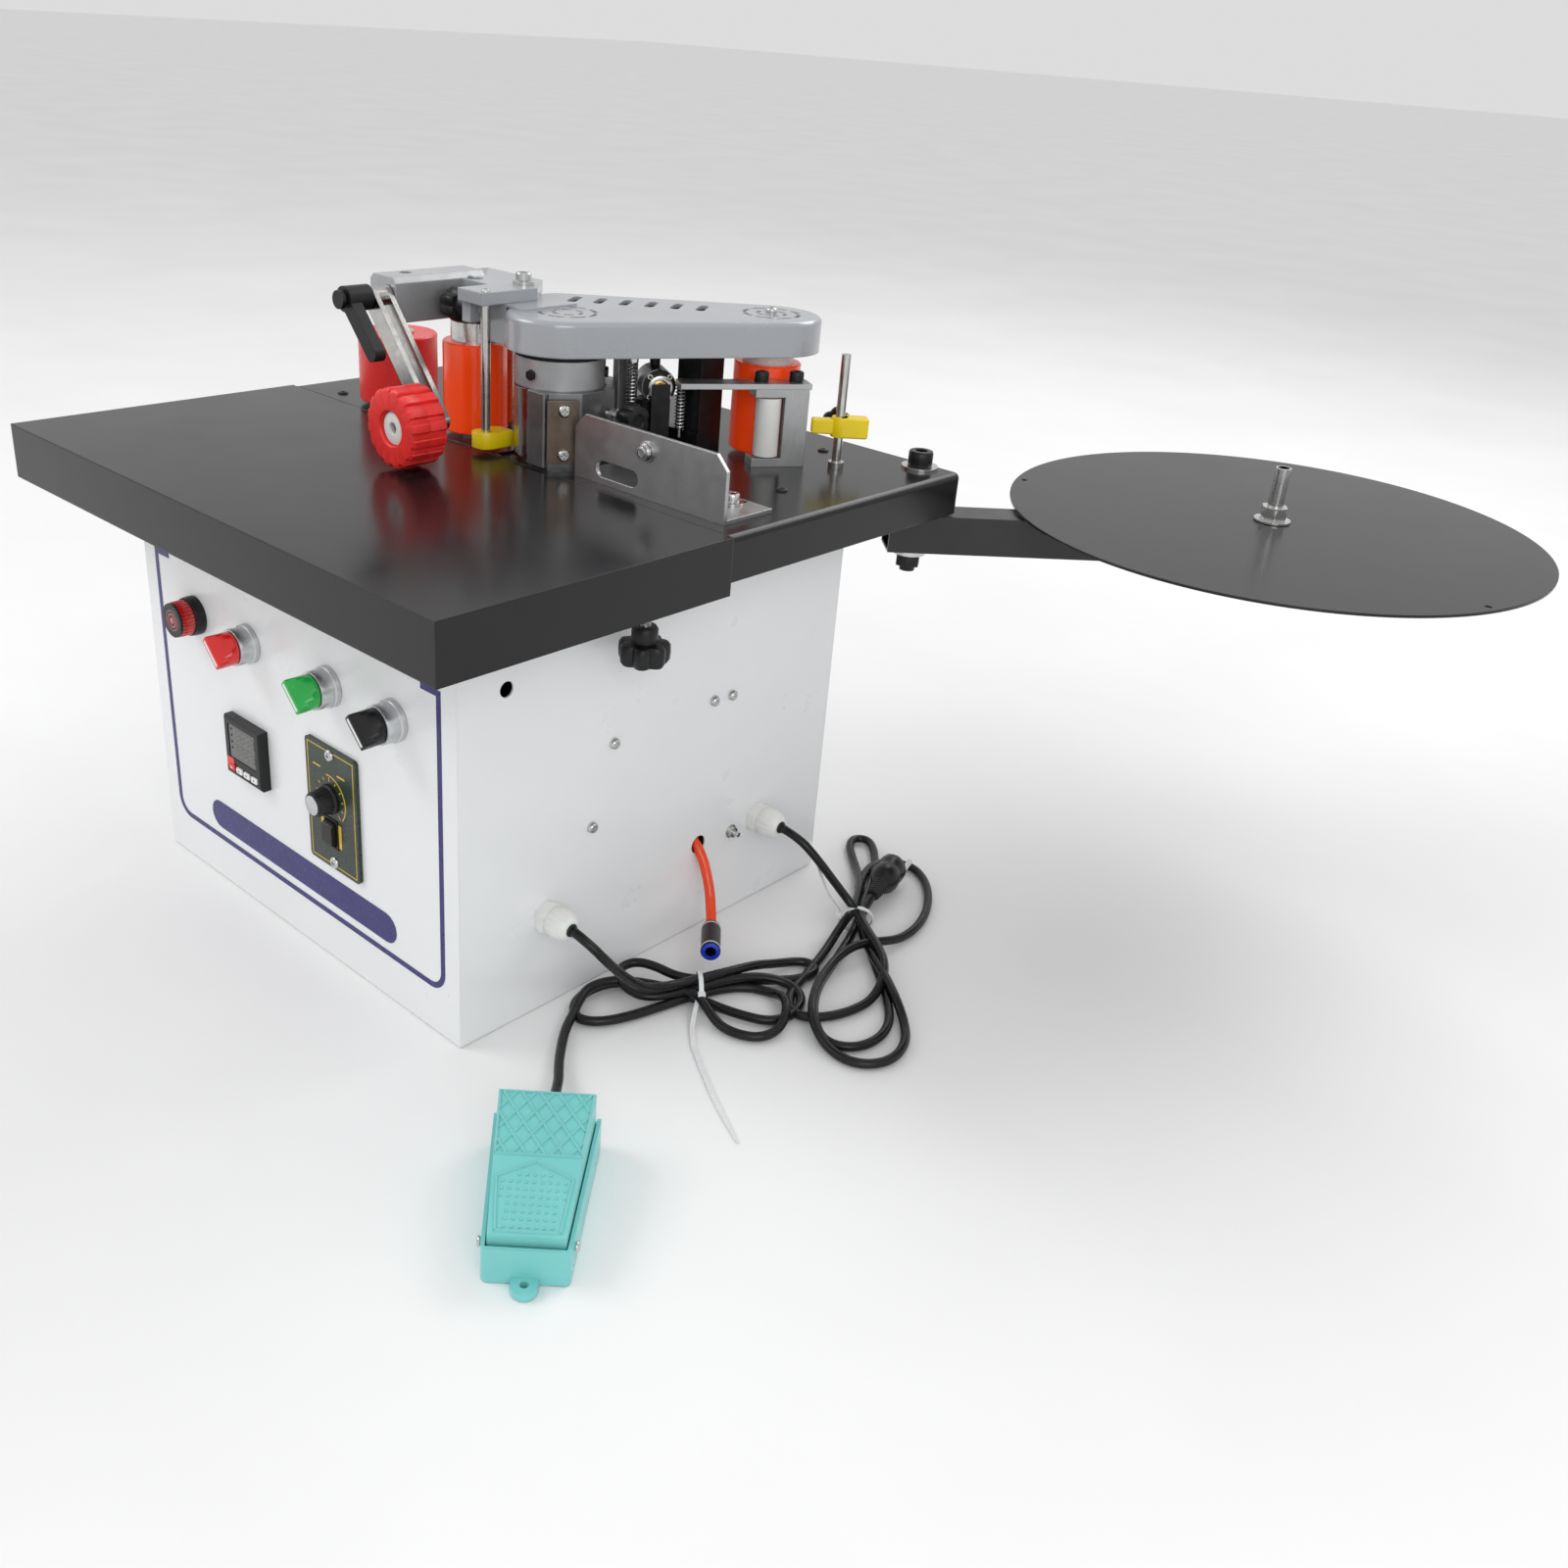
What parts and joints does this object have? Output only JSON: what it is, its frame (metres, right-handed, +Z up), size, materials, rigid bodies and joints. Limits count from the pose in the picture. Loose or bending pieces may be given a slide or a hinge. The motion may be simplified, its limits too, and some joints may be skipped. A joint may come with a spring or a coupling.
{
  "type": "edge banding machine",
  "caption": "Bench edge bander: white cabinet, black sliding table, glue pot, press rollers, tape reel on a swing arm, foot pedal, tied cords and an air hose.",
  "frame": {"origin": "centre of the cabinet's underside, on the surface it stands on", "axes": "+Z up, -Y towards the operator and the control panel, +X towards the side with the cords"},
  "size_m": [0.877, 0.958, 0.474],
  "materials": {
    "white_paint": "gloss white powder coat",
    "black_paint": "satin black powder coat",
    "grey_paint": "smooth grey stove enamel on castings",
    "steel": "zinc plated steel",
    "aluminium": "brushed aluminium",
    "cast_aluminium": "dull sand cast aluminium",
    "chrome": "bright chrome bezel",
    "red_rubber": "smooth red polyurethane",
    "orange_rubber": "smooth orange polyurethane",
    "black_plastic": "moulded black nylon",
    "red_plastic": "gloss red",
    "green_plastic": "gloss green",
    "white_plastic": "white nylon",
    "yellow_plastic": "yellow moulding",
    "teal_plastic": "moulded teal housing",
    "black_cord": "black PVC cord",
    "orange_hose": "orange polyurethane hose",
    "belt_rubber": "black toothed belt"
  },
  "bodies": {
    "cabinet": {"cabinet_shell": "white_paint", "rear_panel": "white_paint", "fasteners": "steel", "rear_table": "black_paint", "table_frame": "steel", "gearmotor": "grey_paint", "roller_bearings": "steel", "drive_belts": "belt_rubber", "glue_pot": "cast_aluminium", "glue_collar": "aluminium", "fence": "aluminium", "guide_block": "cast_aluminium", "guide_top_plate": "aluminium", "guide_rods": "steel", "belt_guard": "grey_paint", "press_head": "grey_paint", "cutter_frame": "black_paint", "cutter_cylinder": "steel", "panel_fittings": "chrome", "temp_controller": "black_plastic", "speed_controller": "black_plastic", "electrics_plate": "steel", "cable_glands": "white_plastic", "pedal_base": "teal_plastic", "pedal_cord_lead": "black_cord", "pedal_cord_hank": "black_cord", "pedal_cord_tail": "black_cord", "mains_cord_lead": "black_cord", "mains_cord_hank": "black_cord", "mains_plug": "black_plastic", "air_hose": "orange_hose", "hose_fitting": "black_plastic"},
    "front_table": {"front_table": "black_paint"},
    "lock_knob": {"lock_knob": "black_plastic"},
    "power_selector": {"power_selector": "red_plastic"},
    "motor_selector": {"motor_selector": "green_plastic"},
    "mode_selector": {"mode_selector": "black_plastic"},
    "speed_knob": {"speed_knob": "black_plastic"},
    "power_rocker": {"power_rocker": "black_plastic"},
    "key_set": {"key_set": "red_plastic"},
    "key_shift": {"key_shift": "white_plastic"},
    "key_down": {"key_down": "white_plastic"},
    "key_up": {"key_up": "white_plastic"},
    "press_roller_drive": {"press_roller_drive": "orange_rubber"},
    "glue_roller": {"glue_roller": "steel"},
    "feed_roller": {"feed_roller": "orange_rubber"},
    "press_roller_idle": {"press_roller_idle": "red_rubber"},
    "pinch_roller": {"pinch_roller": "white_plastic"},
    "wheel_arm": {"wheel_arm": "steel"},
    "press_wheel": {"press_wheel": "red_rubber"},
    "clamp_lever": {"clamp_lever": "black_plastic"},
    "head_knob": {"head_knob": "black_plastic"},
    "tape_foot": {"tape_foot": "yellow_plastic"},
    "tape_clamp": {"tape_clamp": "yellow_plastic"},
    "clamp_screw": {"clamp_screw": "black_plastic"},
    "glue_knob": {"glue_knob": "black_plastic"},
    "cutter_blade": {"cutter_blade": "steel"},
    "reel_arm": {"reel_arm": "black_paint"},
    "reel_disc": {"reel_disc": "grey_paint"},
    "pedal_treadle": {"pedal_treadle": "teal_plastic"}
  },
  "joints": [
    {"name": "front_table_slide", "type": "slide", "parent": "cabinet", "child": "front_table", "axis": [0, -1, 0], "range_m": [0, 0.08]},
    {"name": "lock_knob_turn", "type": "hinge", "parent": "front_table", "child": "lock_knob", "pos_m": [0.217, -0.055, 0.272], "axis": [0, 0, 1], "range_deg": [0, 180]},
    {"name": "power_selector_turn", "type": "hinge", "parent": "cabinet", "child": "power_selector", "pos_m": [-0.048, -0.19, 0.225], "axis": [0, 1, 0], "range_deg": [0, 90]},
    {"name": "motor_selector_turn", "type": "hinge", "parent": "cabinet", "child": "motor_selector", "pos_m": [0.052, -0.19, 0.226], "axis": [0, 1, 0], "range_deg": [0, 90]},
    {"name": "mode_selector_turn", "type": "hinge", "parent": "cabinet", "child": "mode_selector", "pos_m": [0.125, -0.19, 0.227], "axis": [0, 1, 0], "range_deg": [0, 90]},
    {"name": "speed_knob_turn", "type": "hinge", "parent": "cabinet", "child": "speed_knob", "pos_m": [0.05, -0.19, 0.139], "axis": [0, 1, 0], "range_deg": [0, 270]},
    {"name": "power_rocker_tilt", "type": "hinge", "parent": "cabinet", "child": "power_rocker", "pos_m": [0.05, -0.191, 0.112], "axis": [1, 0, 0], "range_deg": [0, 16]},
    {"name": "key_set_press", "type": "slide", "parent": "cabinet", "child": "key_set", "axis": [0, 1, 0], "range_m": [0, 0.0008], "stiffness_N_per_m": 600, "springref_m": -0.0006},
    {"name": "key_shift_press", "type": "slide", "parent": "cabinet", "child": "key_shift", "axis": [0, 1, 0], "range_m": [0, 0.0008], "stiffness_N_per_m": 600, "springref_m": -0.0006},
    {"name": "key_down_press", "type": "slide", "parent": "cabinet", "child": "key_down", "axis": [0, 1, 0], "range_m": [0, 0.0008], "stiffness_N_per_m": 600, "springref_m": -0.0006},
    {"name": "key_up_press", "type": "slide", "parent": "cabinet", "child": "key_up", "axis": [0, 1, 0], "range_m": [0, 0.0008], "stiffness_N_per_m": 600, "springref_m": -0.0006},
    {"name": "drive_roller_spin", "type": "hinge", "parent": "cabinet", "child": "press_roller_drive", "pos_m": [-0.045, 0.016, 0.38], "axis": [0, 0, 1], "continuous": true},
    {"name": "glue_roller_spin", "type": "hinge", "parent": "cabinet", "child": "glue_roller", "pos_m": [0.036, 0.012, 0.38], "axis": [0, 0, 1], "continuous": true},
    {"name": "feed_roller_spin", "type": "hinge", "parent": "cabinet", "child": "feed_roller", "pos_m": [0.12, 0.164, 0.38], "axis": [0, 0, 1], "continuous": true},
    {"name": "idle_roller_spin", "type": "hinge", "parent": "cabinet", "child": "press_roller_idle", "pos_m": [-0.153, 0.024, 0.38], "axis": [0, 0, 1], "continuous": true},
    {"name": "pinch_roller_spin", "type": "hinge", "parent": "cabinet", "child": "pinch_roller", "pos_m": [0.14599, 0.13801, 0.38], "axis": [0, 0, 1], "continuous": true},
    {"name": "wheel_arm_swing", "type": "hinge", "parent": "cabinet", "child": "wheel_arm", "pos_m": [-0.059, -0.063, 0.457], "axis": [0, -1, 0], "range_deg": [0, 50]},
    {"name": "press_wheel_spin", "type": "hinge", "parent": "wheel_arm", "child": "press_wheel", "pos_m": [0.005, -0.085, 0.38], "axis": [0, 1, 0], "continuous": true},
    {"name": "clamp_lever_turn", "type": "hinge", "parent": "cabinet", "child": "clamp_lever", "pos_m": [-0.059, -0.08, 0.457], "axis": [0, 1, 0], "range_deg": [-60, 60]},
    {"name": "head_knob_turn", "type": "hinge", "parent": "cabinet", "child": "head_knob", "pos_m": [-0.034, -0.006, 0.45], "axis": [-1, 0, 0], "range_deg": [0, 180]},
    {"name": "tape_foot_slide", "type": "slide", "parent": "cabinet", "child": "tape_foot", "axis": [0, 0, 1], "range_m": [0, 0.04]},
    {"name": "tape_clamp_slide", "type": "slide", "parent": "cabinet", "child": "tape_clamp", "axis": [0, 0, 1], "range_m": [-0.018, 0.04]},
    {"name": "clamp_screw_turn", "type": "hinge", "parent": "tape_clamp", "child": "clamp_screw", "pos_m": [0.17357, 0.18707, 0.3815], "axis": [-0.7193, 0.6947, 0], "range_deg": [0, 180]},
    {"name": "glue_knob_turn", "type": "hinge", "parent": "cabinet", "child": "glue_knob", "pos_m": [0.1, 0.038, 0.388], "axis": [1, 0, 0], "range_deg": [0, 270]},
    {"name": "cutter_stroke", "type": "slide", "parent": "cabinet", "child": "cutter_blade", "axis": [0.8466, -0.5322, 0], "range_m": [0, 0.007], "stiffness_N_per_m": 300, "springref_m": -0.004},
    {"name": "reel_arm_swing", "type": "hinge", "parent": "cabinet", "child": "reel_arm", "pos_m": [0.222, 0.233, 0.301], "axis": [0, 0, 1], "range_deg": [-70, 70]},
    {"name": "reel_disc_spin", "type": "hinge", "parent": "reel_arm", "child": "reel_disc", "pos_m": [0.42, 0.44, 0.319], "axis": [0, 0, 1], "continuous": true},
    {"name": "pedal_press", "type": "hinge", "parent": "cabinet", "child": "pedal_treadle", "pos_m": [0.37299, -0.28692, 0.017], "axis": [-0.7396, -0.673, 0], "range_deg": [0, 8], "stiffness_Nm_per_rad": 1.6, "springref_deg": -14.32}
  ],
  "couplings": [
    {"joint": "glue_roller_spin", "follows": "drive_roller_spin", "ratio": 1.225},
    {"joint": "feed_roller_spin", "follows": "drive_roller_spin", "ratio": 0.96078}
  ]
}
